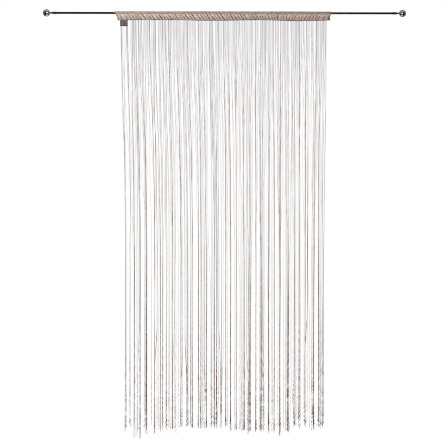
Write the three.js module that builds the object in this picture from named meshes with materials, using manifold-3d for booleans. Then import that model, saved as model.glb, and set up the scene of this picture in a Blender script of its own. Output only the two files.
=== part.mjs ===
// A string curtain on its rod.
//
// A plain round rod has a ball finial pushed over each end. The curtain's heading is a strip of
// cloth folded over the rod, which leaves a pocket for it, and its two edges are sewn together
// with the strings between them. The strings hang from that seam as one comb: close and even where
// they are sewn, and drawn together into separate locks towards their ragged ends.
//
// Millimetres. +X runs along the rod to the right, +Y goes to the back and +Z up, and the origin is
// the middle of the rod's axis.

import * as THREE from 'three';
import { mergeVertices } from 'three/addons/utils/BufferGeometryUtils.js';
import Module from 'manifold-3d';

const wasm = await Module();
wasm.setup();

const FIT_GAP = 0.3; // between neighbouring pieces
const ROUND_SIDES = 24; // facets round the rod and the finials

// Rod and finials
const ROD_DIAMETER = 10;
const BALL_SPAN = 1709; // between the centres of the two balls
const BALL_DIAMETER = 35;
const NECK_DIAMETER = 8.5;
const COLLAR_DIAMETER = 11.8;
const COLLAR_START = 33; // from the ball's centre, towards the rod
const COLLAR_END = 49;
const BEAD_HEIGHT = 0.8; // how far the collar's two beads stand out
const BEAD_WIDTH = 2.6;
const SOCKET_DEPTH = 14; // how much of the rod's end the collar takes in

// Heading
const CLOTH = 1.5; // the turned cloth of one wall
const SEAM_HALF = 0.9; // half the room between the walls where the strings are sewn in
const SEAM_START = 29; // depth below the rod's axis where the walls meet
const HEADING_LEFT = -520.5;
const HEADING_RIGHT = 514;
const PUCKERS = 42; // slanting puckers that the seam draws along the heading
const PUCKER_HEIGHT = 1.3;

// Rows of a wall, from the rod's axis down to the lower edge: the depth of the row and how much of
// a pucker's height shows there.
const WALL_ROWS = [
  { depth: 0, pucker: 0 },
  { depth: 9, pucker: 0.4 },
  { depth: 20, pucker: 1 },
  { depth: SEAM_START, pucker: 0.5 },
  { depth: 35, pucker: 0 },
];

// How the puckers lean along the heading: sideways run to the right for each millimetre down. The
// first and last rows are the slant of the heading's own ends.
const LEANS = [
  { x: HEADING_LEFT, lean: 0.31 },
  { x: -470, lean: 0.8 },
  { x: 150, lean: 0.8 },
  { x: 350, lean: -0.6 },
  { x: 480, lean: -0.6 },
  { x: HEADING_RIGHT, lean: -0.17 },
];

// Strings
const STRINGS_LEFT = -497; // where they are sewn in
const STRINGS_RIGHT = 492;
const FOOT_LEFT = -476; // where the outer locks end
const SEWN_THICKNESS = 1.2;
const LOCK_THICKNESS = 3.4; // of a lock that is fully drawn together
const LOCK_WIDTH = 9;
const SEWN_SHARE = 0.9; // of its share of the seam that a lock fills at the top

// The comb from left to right, in stretches of four locks: how wide the stretch is at the foot, how
// deep its locks hang below the rod's axis, and how much further its longest strings reach.
const STRETCHES = [
  { width: 84, reach: 1990, tip: 46 },
  { width: 84, reach: 1997, tip: 18 },
  { width: 82, reach: 1996, tip: 14 },
  { width: 80, reach: 1985, tip: 12 },
  { width: 78, reach: 1983, tip: 10 },
  { width: 78, reach: 1986, tip: 12 },
  { width: 78, reach: 1991, tip: 16 },
  { width: 78, reach: 2000, tip: 14 },
  { width: 78, reach: 2002, tip: 16 },
  { width: 78, reach: 2006, tip: 18 },
  { width: 78, reach: 1976, tip: 12 },
  { width: 77, reach: 1980, tip: 14 },
];
const LOCKS_PER_STRETCH = 4;
const LONGEST_LOCK = 1; // the second lock of a stretch holds its longest strings

// Heights of a lock's sections: depth below the rod's axis, how far the lock has moved there from
// its place in the seam to its place at the foot, and how far its strings have drawn together.
const HEIGHTS = [
  { depth: 31, drift: 0, gather: 0 },
  { depth: 60, drift: 0, gather: 0 },
  { depth: 300, drift: 0.33, gather: 0.15 },
  { depth: 700, drift: 0.8, gather: 0.45 },
  { depth: 1150, drift: 1, gather: 0.75 },
  { depth: 1600, drift: 1, gather: 0.95 },
];

// How a lock runs out at its foot, as its strings end one after another: how far above the depth
// that most of them reach, how much of the way beyond it to the longest one, and how much of the
// lock's width and thickness is left there.
const ENDS = [
  { above: 22, beyond: 0, share: 1 },
  { above: 0, beyond: 0, share: 0.72 },
  { above: 0, beyond: 0.35, share: 0.3 },
  { above: 0, beyond: 1, share: 0.12 },
];

// Label
const LABEL_LEFT = -498;
const LABEL_WIDTH = 37;
const LABEL_FOOT = 61.5; // depth of its fold below the rod's axis
const LABEL_CLOTH = 1;

const steel = { color: 0x3b3c3e, roughness: 0.22, metalness: 1 };
const brightSteel = { color: 0xb4b5b7, roughness: 0.15, metalness: 1 };
const taupeCloth = { color: 0xb09f91, roughness: 0.9, metalness: 0 };
const taupeYarn = { color: 0x9d928d, roughness: 0.85, metalness: 0 };
const greyLabel = { color: 0x706868, roughness: 0.8, metalness: 0 };

const STEP = { golden: 0.618034, silver: 0.414214 };

/** A number from -1 to 1 that varies from index to index, and is the same on each run. */
function uneven(index, use) {
  return 2 * ((index * STEP.golden + use * STEP.silver) % 1) - 1;
}

/** Reads one column of a table between its rows, in a straight line. */
function between(table, key, column, at) {
  let low = table[0];
  for (const high of table) {
    if (at <= high[key]) {
      const share = high === low ? 0 : (at - low[key]) / (high[key] - low[key]);
      return THREE.MathUtils.lerp(low[column], high[column], share);
    }
    low = high;
  }
  return low[column];
}

/**
 * Closes a row of matching loops into one solid, with a cap on the first and the last. A wall's
 * four-sided faces are split along their longer diagonal, which runs the way a slanting fold does.
 */
function loft(loops, capTriangles) {
  const size = loops[0].length;
  const last = (loops.length - 1) * size;
  const points = loops.flat();
  const indices = [];
  for (let start = 0; start < last; start += size) {
    for (let side = 0; side < size; side += 1) {
      const a = start + side;
      const b = start + (side + 1) % size;
      const c = b + size;
      const d = a + size;
      if (points[a].distanceTo(points[c]) > points[b].distanceTo(points[d])) {
        indices.push(a, b, c);
        indices.push(a, c, d);
      } else {
        indices.push(a, b, d);
        indices.push(b, c, d);
      }
    }
  }
  for (const [a, b, c] of capTriangles) {
    indices.push(a, c, b);
    indices.push(last + a, last + b, last + c);
  }
  const geometry = new THREE.BufferGeometry().setFromPoints(points);
  geometry.setIndex(indices);
  geometry.computeVertexNormals();
  return geometry;
}

/** Turns a closed geometry into a solid that can be joined to others. */
function toSolid(geometry) {
  const bare = geometry.clone();
  bare.deleteAttribute('normal');
  bare.deleteAttribute('uv');
  const merged = mergeVertices(bare);
  const mesh = new wasm.Mesh({
    numProp: 3,
    vertProperties: new Float32Array(merged.attributes.position.array),
    triVerts: new Uint32Array(merged.index.array),
  });
  return new wasm.Manifold(mesh);
}

/** Turns a solid back into a geometry. */
function toGeometry(solid) {
  const mesh = solid.getMesh();
  const geometry = new THREE.BufferGeometry();
  geometry.setAttribute('position', new THREE.BufferAttribute(mesh.vertProperties, 3));
  geometry.setIndex(new THREE.BufferAttribute(mesh.triVerts, 1));
  geometry.computeVertexNormals();
  return geometry;
}

/** A named piece with a material of its own. */
function piece(name, geometry, finish) {
  const mesh = new THREE.Mesh(geometry, new THREE.MeshStandardMaterial(finish));
  mesh.name = name;
  return mesh;
}

// Rod: it runs from the bottom of one finial's socket to the bottom of the other's.

function makeRod() {
  const end = BALL_SPAN / 2 - COLLAR_END + SOCKET_DEPTH - FIT_GAP;
  const rod = piece('rod', new THREE.CylinderGeometry(
    ROD_DIAMETER / 2, ROD_DIAMETER / 2, 2 * end, ROUND_SIDES,
  ), steel);
  rod.rotation.z = Math.PI / 2;
  return rod;
}

// Finial: a ball on a narrow neck that flares into a collar with two beads, turned in one piece.
// Its profile runs from the ball's far pole to the collar's mouth and back up the socket.

function beadProfile(middle) {
  const radius = COLLAR_DIAMETER / 2;
  return [
    new THREE.Vector2(radius, middle - BEAD_WIDTH / 2),
    new THREE.Vector2(radius + BEAD_HEIGHT, middle - BEAD_WIDTH / 4),
    new THREE.Vector2(radius + BEAD_HEIGHT, middle + BEAD_WIDTH / 4),
    new THREE.Vector2(radius, middle + BEAD_WIDTH / 2),
  ];
}

function finialProfile() {
  const ballRadius = BALL_DIAMETER / 2;
  const neckRadius = NECK_DIAMETER / 2;
  const collarRadius = COLLAR_DIAMETER / 2;
  const socketRadius = ROD_DIAMETER / 2 + FIT_GAP;
  const neckTurn = Math.PI - Math.asin(neckRadius / ballRadius);
  const ballSteps = 11;
  const profile = [];
  for (let step = 0; step <= ballSteps; step += 1) {
    const turn = neckTurn * step / ballSteps;
    profile.push(new THREE.Vector2(ballRadius * Math.sin(turn), -ballRadius * Math.cos(turn)));
  }
  profile.push(new THREE.Vector2(neckRadius, (ballRadius + COLLAR_START) / 2));
  profile.push(new THREE.Vector2(collarRadius, COLLAR_START));
  profile.push(...beadProfile(COLLAR_START + BEAD_WIDTH * 1.2));
  profile.push(...beadProfile(COLLAR_END - BEAD_WIDTH * 0.8));
  profile.push(new THREE.Vector2(collarRadius, COLLAR_END));
  profile.push(new THREE.Vector2(socketRadius, COLLAR_END));
  profile.push(new THREE.Vector2(socketRadius, COLLAR_END - SOCKET_DEPTH));
  profile.push(new THREE.Vector2(0, COLLAR_END - SOCKET_DEPTH));
  return profile;
}

/** A finial at the left end of the rod, with side -1, or at the right end, with side 1. */
function makeFinial(name, side) {
  const finial = piece(name, new THREE.LatheGeometry(finialProfile(), ROUND_SIDES), brightSteel);
  finial.position.x = side * BALL_SPAN / 2;
  finial.rotation.z = side * Math.PI / 2;
  return finial;
}

// Heading: one wall behind the rod and one in front, joined over its top. Each cross-section is a
// strip of cloth with an outside and an inside line, which both run from the back wall's lower edge
// over the rod to the front wall's.

function headingLoop(x, lean, bulge) {
  const archTurns = [45, 90, 135];
  const archFit = Math.cos(THREE.MathUtils.degToRad(22.5));
  const pocketRadius = (ROD_DIAMETER / 2 + FIT_GAP) / archFit;
  const outside = [];
  const inside = [];

  const addWallPoint = (row, side) => {
    const meet = Math.min(row.depth / SEAM_START, 1);
    const pocketHalf = THREE.MathUtils.lerp(pocketRadius, SEAM_HALF, meet) + bulge * row.pucker;
    const slantedX = x + lean * row.depth;
    outside.push(new THREE.Vector3(slantedX, side * (pocketHalf + CLOTH), -row.depth));
    inside.push(new THREE.Vector3(slantedX, side * pocketHalf, -row.depth));
  };

  for (const row of [...WALL_ROWS].reverse()) {
    addWallPoint(row, 1);
  }
  for (const degrees of archTurns) {
    const turn = THREE.MathUtils.degToRad(degrees);
    const arch = new THREE.Vector3(0, Math.cos(turn), Math.sin(turn));
    outside.push(arch.clone().multiplyScalar(pocketRadius + CLOTH).setX(x));
    inside.push(arch.clone().multiplyScalar(pocketRadius).setX(x));
  }
  for (const row of WALL_ROWS) {
    addWallPoint(row, -1);
  }
  return [...outside, ...inside.reverse()];
}

function makeHeading() {
  const stations = 2 * PUCKERS;
  const loops = [];
  for (let station = 0; station <= stations; station += 1) {
    const even = THREE.MathUtils.lerp(HEADING_LEFT, HEADING_RIGHT, station / stations);
    const isEnd = station === 0 || station === stations;
    const x = isEnd ? even : even + 3 * uneven(station, 1);
    const isRidge = station % 2 === 1;
    const bulge = isRidge ? PUCKER_HEIGHT * (0.75 + 0.25 * uneven(station, 2)) : 0;
    loops.push(headingLoop(x, between(LEANS, 'x', 'lean', x), bulge));
  }
  const lineLength = loops[0].length / 2;
  const endFaces = [];
  for (let point = 0; point < lineLength - 1; point += 1) {
    const opposite = 2 * lineLength - 1 - point;
    endFaces.push([point, point + 1, opposite - 1]);
    endFaces.push([point, opposite - 1, opposite]);
  }
  return piece('heading', loft(loops, endFaces), taupeCloth);
}

// Strings: one comb. Its back is the strip sewn between the heading's edges, and each tooth is a
// lock of strings.

function lockLoop(x, y, depth, width, thickness) {
  const w = width / 2;
  const t = thickness / 2;
  return [[w, t], [w, -t], [-w, -t], [-w, t]].map(
    ([dx, dy]) => new THREE.Vector3(x + dx, y + dy, -depth),
  );
}

/** One lock, from where it is sewn in to the tip of its longest strings. */
function makeLock(lock) {
  const loops = [];
  for (const { depth, drift, gather } of HEIGHTS) {
    const x = THREE.MathUtils.lerp(lock.sewnX, lock.footX, drift);
    const width = THREE.MathUtils.lerp(lock.sewnWidth * SEWN_SHARE, lock.footWidth, gather);
    const thickness = THREE.MathUtils.lerp(SEWN_THICKNESS, LOCK_THICKNESS, gather);
    loops.push(lockLoop(x, lock.footY * gather, depth, width, thickness));
  }
  for (const { above, beyond, share } of ENDS) {
    const depth = lock.reach - above + lock.tip * beyond;
    loops.push(lockLoop(lock.footX, lock.footY, depth, lock.footWidth * share, LOCK_THICKNESS * share));
  }
  return toSolid(loft(loops, [[0, 1, 2], [0, 2, 3]]));
}

/** The locks from left to right, with their places worked out from the stretches. */
function layOutLocks() {
  const lockCount = STRETCHES.length * LOCKS_PER_STRETCH;
  const sewnWidth = (STRINGS_RIGHT - STRINGS_LEFT) / lockCount;
  const locks = [];
  let stretchLeft = FOOT_LEFT;
  for (const stretch of STRETCHES) {
    const pitch = stretch.width / LOCKS_PER_STRETCH;
    for (let place = 0; place < LOCKS_PER_STRETCH; place += 1) {
      const number = locks.length;
      locks.push({
        sewnWidth,
        sewnX: STRINGS_LEFT + sewnWidth * (number + 0.5),
        footX: stretchLeft + pitch * (place + 0.5 + 0.18 * uneven(number, 3)),
        footY: 1.6 * uneven(number, 4),
        footWidth: LOCK_WIDTH * (1 + 0.4 * uneven(number, 5)),
        reach: stretch.reach + 6 * uneven(number, 6),
        tip: stretch.tip * (place === LONGEST_LOCK ? 1 : 0.4),
      });
    }
    stretchLeft += stretch.width;
  }
  return locks;
}

function makeStrings() {
  const backTop = -SEAM_START - 1;
  const backFoot = -WALL_ROWS.at(-1).depth + FIT_GAP;
  const back = new THREE.BoxGeometry(STRINGS_RIGHT - STRINGS_LEFT, SEWN_THICKNESS, backTop - backFoot);
  back.translate((STRINGS_RIGHT + STRINGS_LEFT) / 2, 0, (backTop + backFoot) / 2);
  const locks = layOutLocks().map(makeLock);
  const comb = wasm.Manifold.union([toSolid(back), ...locks]);
  return piece('strings', toGeometry(comb), taupeYarn);
}

// Label: a short woven tape folded in half, fold down, which hangs in front of the first strings
// from the heading's lower edge.

function makeLabel() {
  const top = -WALL_ROWS.at(-1).depth - FIT_GAP;
  const front = -LABEL_CLOTH - FIT_GAP / 2;
  const back = LABEL_CLOTH + FIT_GAP / 2;
  const bend = -LABEL_FOOT + back;
  const outline = new THREE.Shape();
  outline.moveTo(front, top);
  outline.lineTo(front, bend);
  outline.absarc(0, bend, back, Math.PI, 2 * Math.PI, false);
  outline.lineTo(back, top);
  outline.lineTo(FIT_GAP / 2, top);
  outline.lineTo(FIT_GAP / 2, bend);
  outline.absarc(0, bend, FIT_GAP / 2, 2 * Math.PI, Math.PI, true);
  outline.lineTo(-FIT_GAP / 2, top);
  outline.closePath();
  const tape = new THREE.ExtrudeGeometry(outline, {
    depth: LABEL_WIDTH, bevelEnabled: false, curveSegments: 6,
  });
  const stand = new THREE.Matrix4().makeBasis(
    new THREE.Vector3(0, 1, 0), new THREE.Vector3(0, 0, 1), new THREE.Vector3(1, 0, 0),
  );
  const label = piece('label', tape.applyMatrix4(stand), greyLabel);
  label.position.set(LABEL_LEFT, -SEWN_THICKNESS / 2 - FIT_GAP - back, 0);
  return label;
}

const pole = new THREE.Group();
pole.add(makeRod());
pole.add(makeFinial('finial_left', -1));
pole.add(makeFinial('finial_right', 1));

const hanging = new THREE.Group();
hanging.add(makeHeading());
hanging.add(makeStrings());
hanging.add(makeLabel());

const stringCurtain = new THREE.Group();
stringCurtain.add(pole);
stringCurtain.add(hanging);

export default stringCurtain;
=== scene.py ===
import math
import random
import bpy
import bmesh
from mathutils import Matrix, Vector, noise


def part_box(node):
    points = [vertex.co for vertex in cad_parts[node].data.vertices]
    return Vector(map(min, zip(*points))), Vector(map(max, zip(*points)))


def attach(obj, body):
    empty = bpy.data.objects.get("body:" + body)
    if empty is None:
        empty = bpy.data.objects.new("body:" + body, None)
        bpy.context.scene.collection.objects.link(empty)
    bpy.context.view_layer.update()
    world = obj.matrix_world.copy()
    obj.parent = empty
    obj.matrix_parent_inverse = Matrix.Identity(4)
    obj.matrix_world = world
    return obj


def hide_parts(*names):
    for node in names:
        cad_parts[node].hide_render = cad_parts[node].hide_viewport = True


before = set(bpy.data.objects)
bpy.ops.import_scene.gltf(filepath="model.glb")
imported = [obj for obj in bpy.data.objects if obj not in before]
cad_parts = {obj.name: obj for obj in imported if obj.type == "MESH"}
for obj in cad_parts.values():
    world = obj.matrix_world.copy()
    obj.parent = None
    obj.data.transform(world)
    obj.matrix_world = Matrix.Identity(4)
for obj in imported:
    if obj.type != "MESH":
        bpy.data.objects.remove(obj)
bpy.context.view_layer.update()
MM = 0.001  # the frame is in metres


# Camera. It looks straight at the curtain from the front, level with the middle of its length,
# and from far enough away that the strings at the two sides are seen from the front as well.

VIEW_WIDTH = 2150 * MM  # of the plane in which the curtain hangs
VIEW_DISTANCE = 6000 * MM
VIEW_X = -1 * MM
VIEW_Z = -1012.1 * MM
SENSOR_WIDTH = 36.0  # in millimetres, as Blender wants it
CAMERA_ROLL = -0.08  # in degrees
SENSOR_BLUR = 1.1  # how far each point of light spreads on the sensor

camera_data = bpy.data.cameras.new("camera")
camera_data.sensor_width = SENSOR_WIDTH
camera_data.lens = SENSOR_WIDTH * VIEW_DISTANCE / VIEW_WIDTH
camera = bpy.data.objects.new("camera", camera_data)
camera.location = (VIEW_X, -VIEW_DISTANCE, VIEW_Z)
camera.rotation_euler = (math.radians(90), math.radians(CAMERA_ROLL), 0)
bpy.context.scene.collection.objects.link(camera)
bpy.context.scene.camera = camera
bpy.context.scene.view_settings.view_transform = "Standard"
bpy.context.scene.cycles.filter_width = SENSOR_BLUR


# Rod. A drawn steel tube, nickel-plated and polished, 10 mm across. Its two open ends sit in the
# finials' sockets, and the curtain's heading is threaded onto it.

ROUND_SIDES = 64  # of the tube and of the finials
TUBE_WALL = 0.8 * MM
BORED_FROM = 0.96  # of the way from the tube's middle to its end: further in it is never seen
POLISHING_LINE = 2 / 3 * MM  # coarser than the real ones, which are too fine to show
POLISHED_PATCH = 16.67 * MM  # of one shade and shine


def deselect_all():
    for other in list(bpy.context.selected_objects):
        other.select_set(False)


def edit(obj):
    """Opens one object in edit mode, with nothing selected in it."""
    deselect_all()
    obj.select_set(True)
    bpy.context.view_layer.objects.active = obj
    bpy.ops.object.mode_set(mode="EDIT")
    bpy.ops.mesh.select_mode(type="VERT")
    bpy.ops.mesh.select_all(action="DESELECT")


def select_where(obj, kind, wanted):
    """Selects the vertices, edges or faces of the mesh in edit mode for which wanted is true."""
    bpy.ops.mesh.select_mode(type=kind)
    bpy.ops.mesh.select_all(action="DESELECT")
    mesh = bmesh.from_edit_mesh(obj.data)
    for item in {"VERT": mesh.verts, "EDGE": mesh.edges, "FACE": mesh.faces}[kind]:
        if wanted(item):
            item.select_set(True)
    mesh.select_flush_mode()
    bmesh.update_edit_mesh(obj.data)


def finish_mesh(obj, sharp_above=40):
    """Closes a mesh in edit mode, turns its faces outwards, and puts the object's place into it."""
    bpy.ops.mesh.select_mode(type="VERT")
    bpy.ops.mesh.select_all(action="SELECT")
    bpy.ops.mesh.remove_doubles(threshold=0.001 * MM)
    bpy.ops.mesh.normals_make_consistent(inside=False)
    bpy.ops.object.mode_set(mode="OBJECT")
    bpy.ops.object.transform_apply(location=True, rotation=True, scale=True)
    bpy.ops.object.shade_smooth_by_angle(angle=math.radians(sharp_above))


def linear(hex_colour):
    """An sRGB hex colour, such as "#b09f91", as linear red, green, blue and alpha."""
    channels = [int(hex_colour[place:place + 2], 16) / 255 for place in (1, 3, 5)]
    return [c / 12.92 if c <= 0.04045 else ((c + 0.055) / 1.055) ** 2.4 for c in channels] + [1.0]


def add_node(tree, kind, settings=None, links=None, values=None, stops=None):
    """Adds a node to a tree. Links and values are for its inputs, by their name or number, and
    stops are for a colour ramp: places from 0 to 1, each with its hex colour."""
    node = tree.nodes.new(kind)
    for name, setting in (settings or {}).items():
        setattr(node, name, setting)
    for name, output in (links or {}).items():
        tree.links.new(output, node.inputs[name])
    for name, value in (values or {}).items():
        node.inputs[name].default_value = value
    if stops:
        while len(node.color_ramp.elements) < len(stops):
            node.color_ramp.elements.new(0.5)
        for element, (place, colour) in zip(node.color_ramp.elements, stops):
            element.position = place
            element.color = linear(colour)
    return node


def new_material(name):
    """An empty material and its node tree."""
    material = bpy.data.materials.new(name)
    material.use_nodes = True
    material.node_tree.nodes.clear()
    return material, material.node_tree


def dress(piece, material, slot_name, *nodes):
    """Gives a piece its material, hides the CAD nodes it stands for, and hangs it from the root. Its
    slot_name is not used.
    """
    piece.data.materials.clear()
    piece.data.materials.append(material)
    if nodes:
        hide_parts(*nodes)
    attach(piece, "root")


def polished_nickel(name, dark, light, roughness, line_strength, neck=None, ball_edge=0.0):
    """Nickel plate on polished steel: a soft mirror, with the last fine polishing lines across it.
    A finial's neck and collar are painted darker as far as the edge of its ball: painted shade, on top of the
    dark room that the nickel mirrors."""
    material, tree = new_material(name)
    place = add_node(tree, "ShaderNodeTexCoord").outputs["Object"]
    stretch = add_node(
        tree, "ShaderNodeMapping", links={"Vector": place},
        values={"Scale": (1 / POLISHING_LINE, 1 / POLISHED_PATCH, 1 / POLISHED_PATCH)},
    )
    lines = add_node(
        tree, "ShaderNodeTexNoise", links={"Vector": stretch.outputs["Vector"]},
        values={"Scale": 1.0, "Detail": 3.0},
    )
    patches = add_node(
        tree, "ShaderNodeTexNoise", links={"Vector": place},
        values={"Scale": 1 / POLISHED_PATCH, "Detail": 3.0},
    )
    dull = add_node(
        tree, "ShaderNodeMapRange", links={"Value": patches.outputs["Fac"]},
        values={"From Min": 0.35, "From Max": 0.7, "To Min": roughness * 0.75, "To Max": roughness * 1.4},
    )
    shades = add_node(
        tree, "ShaderNodeValToRGB", links={"Fac": patches.outputs["Fac"]}, stops=[(0.3, dark), (0.7, light)],
    )
    colour = shades.outputs["Color"]
    if neck:
        along = add_node(tree, "ShaderNodeSeparateXYZ", links={"Vector": place})
        outward = add_node(
            tree, "ShaderNodeMath", {"operation": "ABSOLUTE"}, links={0: along.outputs["X"]},
        )
        on_ball = add_node(
            tree, "ShaderNodeMapRange", links={"Value": outward.outputs["Value"]},
            values={"From Min": ball_edge - 5 * MM, "From Max": ball_edge + 3 * MM},
        )
        # Painted shade on the neck and collar.
        turned = add_node(
            tree, "ShaderNodeMix", {"data_type": "RGBA"},
            links={0: on_ball.outputs["Result"], 7: colour}, values={6: linear(neck)},
        )
        colour = turned.outputs[2]
    bump = add_node(
        tree, "ShaderNodeBump", links={"Height": lines.outputs["Fac"]},
        values={"Strength": line_strength, "Distance": 0.02 * MM},
    )
    shader = add_node(
        tree, "ShaderNodeBsdfPrincipled",
        links={"Base Color": colour, "Roughness": dull.outputs["Result"], "Normal": bump.outputs["Normal"]},
        values={"Metallic": 1.0},
    )
    add_node(tree, "ShaderNodeOutputMaterial", links={"Surface": shader.outputs["BSDF"]})
    return material


rod_low, rod_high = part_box("rod")
deselect_all()
bpy.ops.mesh.primitive_cylinder_add(
    vertices=ROUND_SIDES, radius=(rod_high.z - rod_low.z) / 2, depth=rod_high.x - rod_low.x,
    location=(0, 0, 0), rotation=(0, math.radians(90), 0), end_fill_type="NGON",
)
rod = bpy.context.active_object
rod.name = "rod_tube"
edit(rod)
select_where(rod, "FACE", lambda face: len(face.verts) > 4)
bpy.ops.mesh.inset(thickness=TUBE_WALL)
bpy.ops.mesh.extrude_region_move()
bpy.ops.transform.resize(value=(BORED_FROM, 1, 1), center_override=(0, 0, 0))
finish_mesh(rod)
tube_nickel = polished_nickel(
    "nickel_plated_steel_tube", "#37383a", "#3f4042", roughness=0.25, line_strength=0.1,
)
dress(rod, tube_nickel, "rod", "rod")


# Finials. Each is a hollow steel ball, nickel-plated and polished, on a narrow neck that flares
# into a collar with two turned beads. The collar's socket is pushed over the rod's end.

BALL_RADIUS = 17.5 * MM
BALL_RINGS = 48
# The neck from the ball to the collar, in millimetres: distance from the ball's centre, and radius.
NECK_PROFILE = [
    {"along": 18.2, "radius": 4.25},
    {"along": 20.5, "radius": 4.1},
    {"along": 25.0, "radius": 4.2},
    {"along": 29.5, "radius": 4.9},
    {"along": 33.0, "radius": 5.9},
    {"along": 34.8, "radius": 5.9},
]
COLLAR_RADIUS = 5.9 * MM
COLLAR_END = 49.0 * MM  # from the ball's centre
COLLAR_EDGE = 0.3 * MM  # its bevel
COLLAR_BEADS = (36.1 * MM, 46.9 * MM)  # the middle of each bead, from the ball's centre
BEAD_HALF_WIDTH = 1.3 * MM
BEAD_HEIGHT = 0.8 * MM
BEAD_STEPS = 6
SOCKET_RADIUS = 5.3 * MM
SOCKET_DEPTH = 14 * MM

profile = [(row["along"] * MM, row["radius"] * MM) for row in NECK_PROFILE]
mouth = profile[0][1]
for bead in COLLAR_BEADS:
    for step in range(BEAD_STEPS + 1):
        turn = math.pi * step / BEAD_STEPS
        along = bead - BEAD_HALF_WIDTH * math.cos(turn)
        profile.append((along, COLLAR_RADIUS + BEAD_HEIGHT * math.sin(turn)))
profile += [
    (COLLAR_END - COLLAR_EDGE, COLLAR_RADIUS),
    (COLLAR_END, COLLAR_RADIUS - COLLAR_EDGE),
    (COLLAR_END, SOCKET_RADIUS),
    (COLLAR_END - SOCKET_DEPTH, SOCKET_RADIUS),
]

ball_nickel = polished_nickel(
    "polished_nickel_plate", "#b9b9ba", "#cacaca", roughness=0.14, line_strength=0.2,
    # The neck's darker colour is painted shade.
    neck="#6d6d6f", ball_edge=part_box("finial_right")[1].x - 2 * BALL_RADIUS,
)
for side, node in ((-1, "finial_left"), (1, "finial_right")):
    low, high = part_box(node)
    centre_x = low.x + BALL_RADIUS if side < 0 else high.x - BALL_RADIUS
    deselect_all()
    bpy.ops.mesh.primitive_uv_sphere_add(
        segments=ROUND_SIDES, ring_count=BALL_RINGS, radius=BALL_RADIUS,
        location=(centre_x, 0, 0), rotation=(0, math.radians(-90 * side), 0),
    )
    finial = bpy.context.active_object
    finial.name = node + "_turned"
    edit(finial)
    select_where(
        finial, "VERT", lambda vert: vert.co.z > 0 and math.hypot(vert.co.x, vert.co.y) < mouth,
    )
    bpy.ops.mesh.delete(type="VERT")
    select_where(finial, "EDGE", lambda edge: edge.is_boundary)
    mesh = bmesh.from_edit_mesh(finial.data)
    ring = next(vert for vert in mesh.verts if vert.select)
    at, radius = ring.co.z, math.hypot(ring.co.x, ring.co.y)
    for along, next_radius in profile:
        push = -side * (along - at)
        bpy.ops.mesh.extrude_region_move(TRANSFORM_OT_translate={"value": (push, 0, 0)})
        grow = next_radius / radius
        centre = (centre_x - side * along, 0, 0)
        bpy.ops.transform.resize(value=(1, grow, grow), center_override=centre)
        at, radius = along, next_radius
    bpy.ops.mesh.edge_face_add()
    finish_mesh(finial, sharp_above=50)
    dress(finial, ball_nickel, "finials", node)


# Heading. A strip of taupe knitted cloth folded over the rod, its two edges sewn together with the
# strings between them. The seam draws the cloth into small slanting gathers, thicker low down.

heading_low, heading_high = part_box("heading")
heading_left = heading_low.x
heading_right = heading_high.x - 2.5 * MM  # its end is pulled in a little by the knotted threads
TOP_RADIUS = 8.0 * MM  # of the cloth's outer face where it passes over the rod
SEAM_HALF = 2.6 * MM  # from the middle to the cloth's outer face where the walls are sewn together
SEAM_DEPTH = 29 * MM
CLOTH = 0.8 * MM
COLUMNS = 560
WALL_ROWS = 28
ARCH_ROWS = 12

# The two ends. Each is turned in, which closes it a little. At the left the fold stands out along
# the rod as a lip, and the walls' edges bow out below it.
END_TURN = 9 * MM
END_PINCH = 0.45  # how far an end is closed
LEFT_PINCH = 0.4  # as a share of that, at the left
LIP = 12 * MM
LIP_RUN = 16 * MM
LIP_DROOP = 0.15  # of the fold's radius
LEFT_BULGE = 1.4 * MM
BULGE_RUN = 14 * MM
BULGE_DEPTH = 24 * MM

# How deep the heading's lower edge hangs at places along it, and how far its fold stands clear
# above the rod, in millimetres. It waves as the gathers pull it up and let it down.
EDGE_DEPTHS = [
    (-0.5205, 35.4), (-0.49, 34.4), (-0.45, 33.1), (-0.24, 33.4), (-0.15, 35.8), (-0.05, 36.1),
    (0.05, 34.4), (0.14, 33.0), (0.24, 34.6), (0.33, 37.0), (0.44, 36.8), (0.48, 35.2), (0.51, 34.2),
]
EDGE_WAVER = 0.6
CROWN_RISES = [
    (-0.5205, 0.2), (-0.31, 0.1), (-0.2, 0.5), (-0.02, 0.8), (0.1, 0.45), (0.36, 0.35), (0.51, 0),
]

# How the gathers lean at places along the heading: sideways run to the right for each millimetre
# down. The first and last leans are the slant of the heading's own ends.
LEANS = [
    (-0.5205, 0.22), (-0.470, 0.8), (0.150, 0.75), (0.350, -0.6), (0.480, -0.6), (0.5105, -0.2),
]
FOLD_LEAN = 0.7  # as a share of that, where the cloth passes over the rod
FOLD_LEAN_RUN = 25 * MM  # from each end, where it comes in

# How high the gathers stand at each depth below the rod's axis, in millimetres. They are small
# gathers held by the seam, so they are highest just above it. Some longer ones reach up to the rod:
# LONG_SHARES says where along the heading they are likely, and FULLNESS how full all of them are.
GATHER_PITCH = 16.5 * MM
GATHER_HEIGHTS = [
    (0, 0.3), (6, 1.2), (11, 2.0), (15, 4.1), (20, 6.2), (25, 5.2), (30, 2.6), (38, 1.4),
]
LONG_HEIGHTS = [
    (0, 2.0), (6, 3.4), (11, 4.4), (15, 5.2), (20, 6.0), (25, 4.6), (30, 2.2), (38, 1.4),
]
LONG_SHARES = [(-0.3, -0.6), (-0.22, 0.3), (-0.06, 0.3), (0.02, -0.6), (0.44, -0.6), (0.48, 0.1)]
FULLNESS = [(-0.52, 1), (-0.34, 1.05), (-0.22, 1.3), (0.14, 1.35), (0.2, 0.7), (0.51, 0.6)]
SPARSE_HEIGHT = 0.55  # of the height, where the gathers stand furthest apart
GATHER_STRAY = 0.55  # of the pitch, that a gather strays from its place
GATHER_SUNK = 0.35  # of the height, that lies inside the wall's plain line
FINE_SHARE = 0.22  # of the height, that the finer gathers on each one make
FINE_PER_GATHER = 2.3
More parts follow.
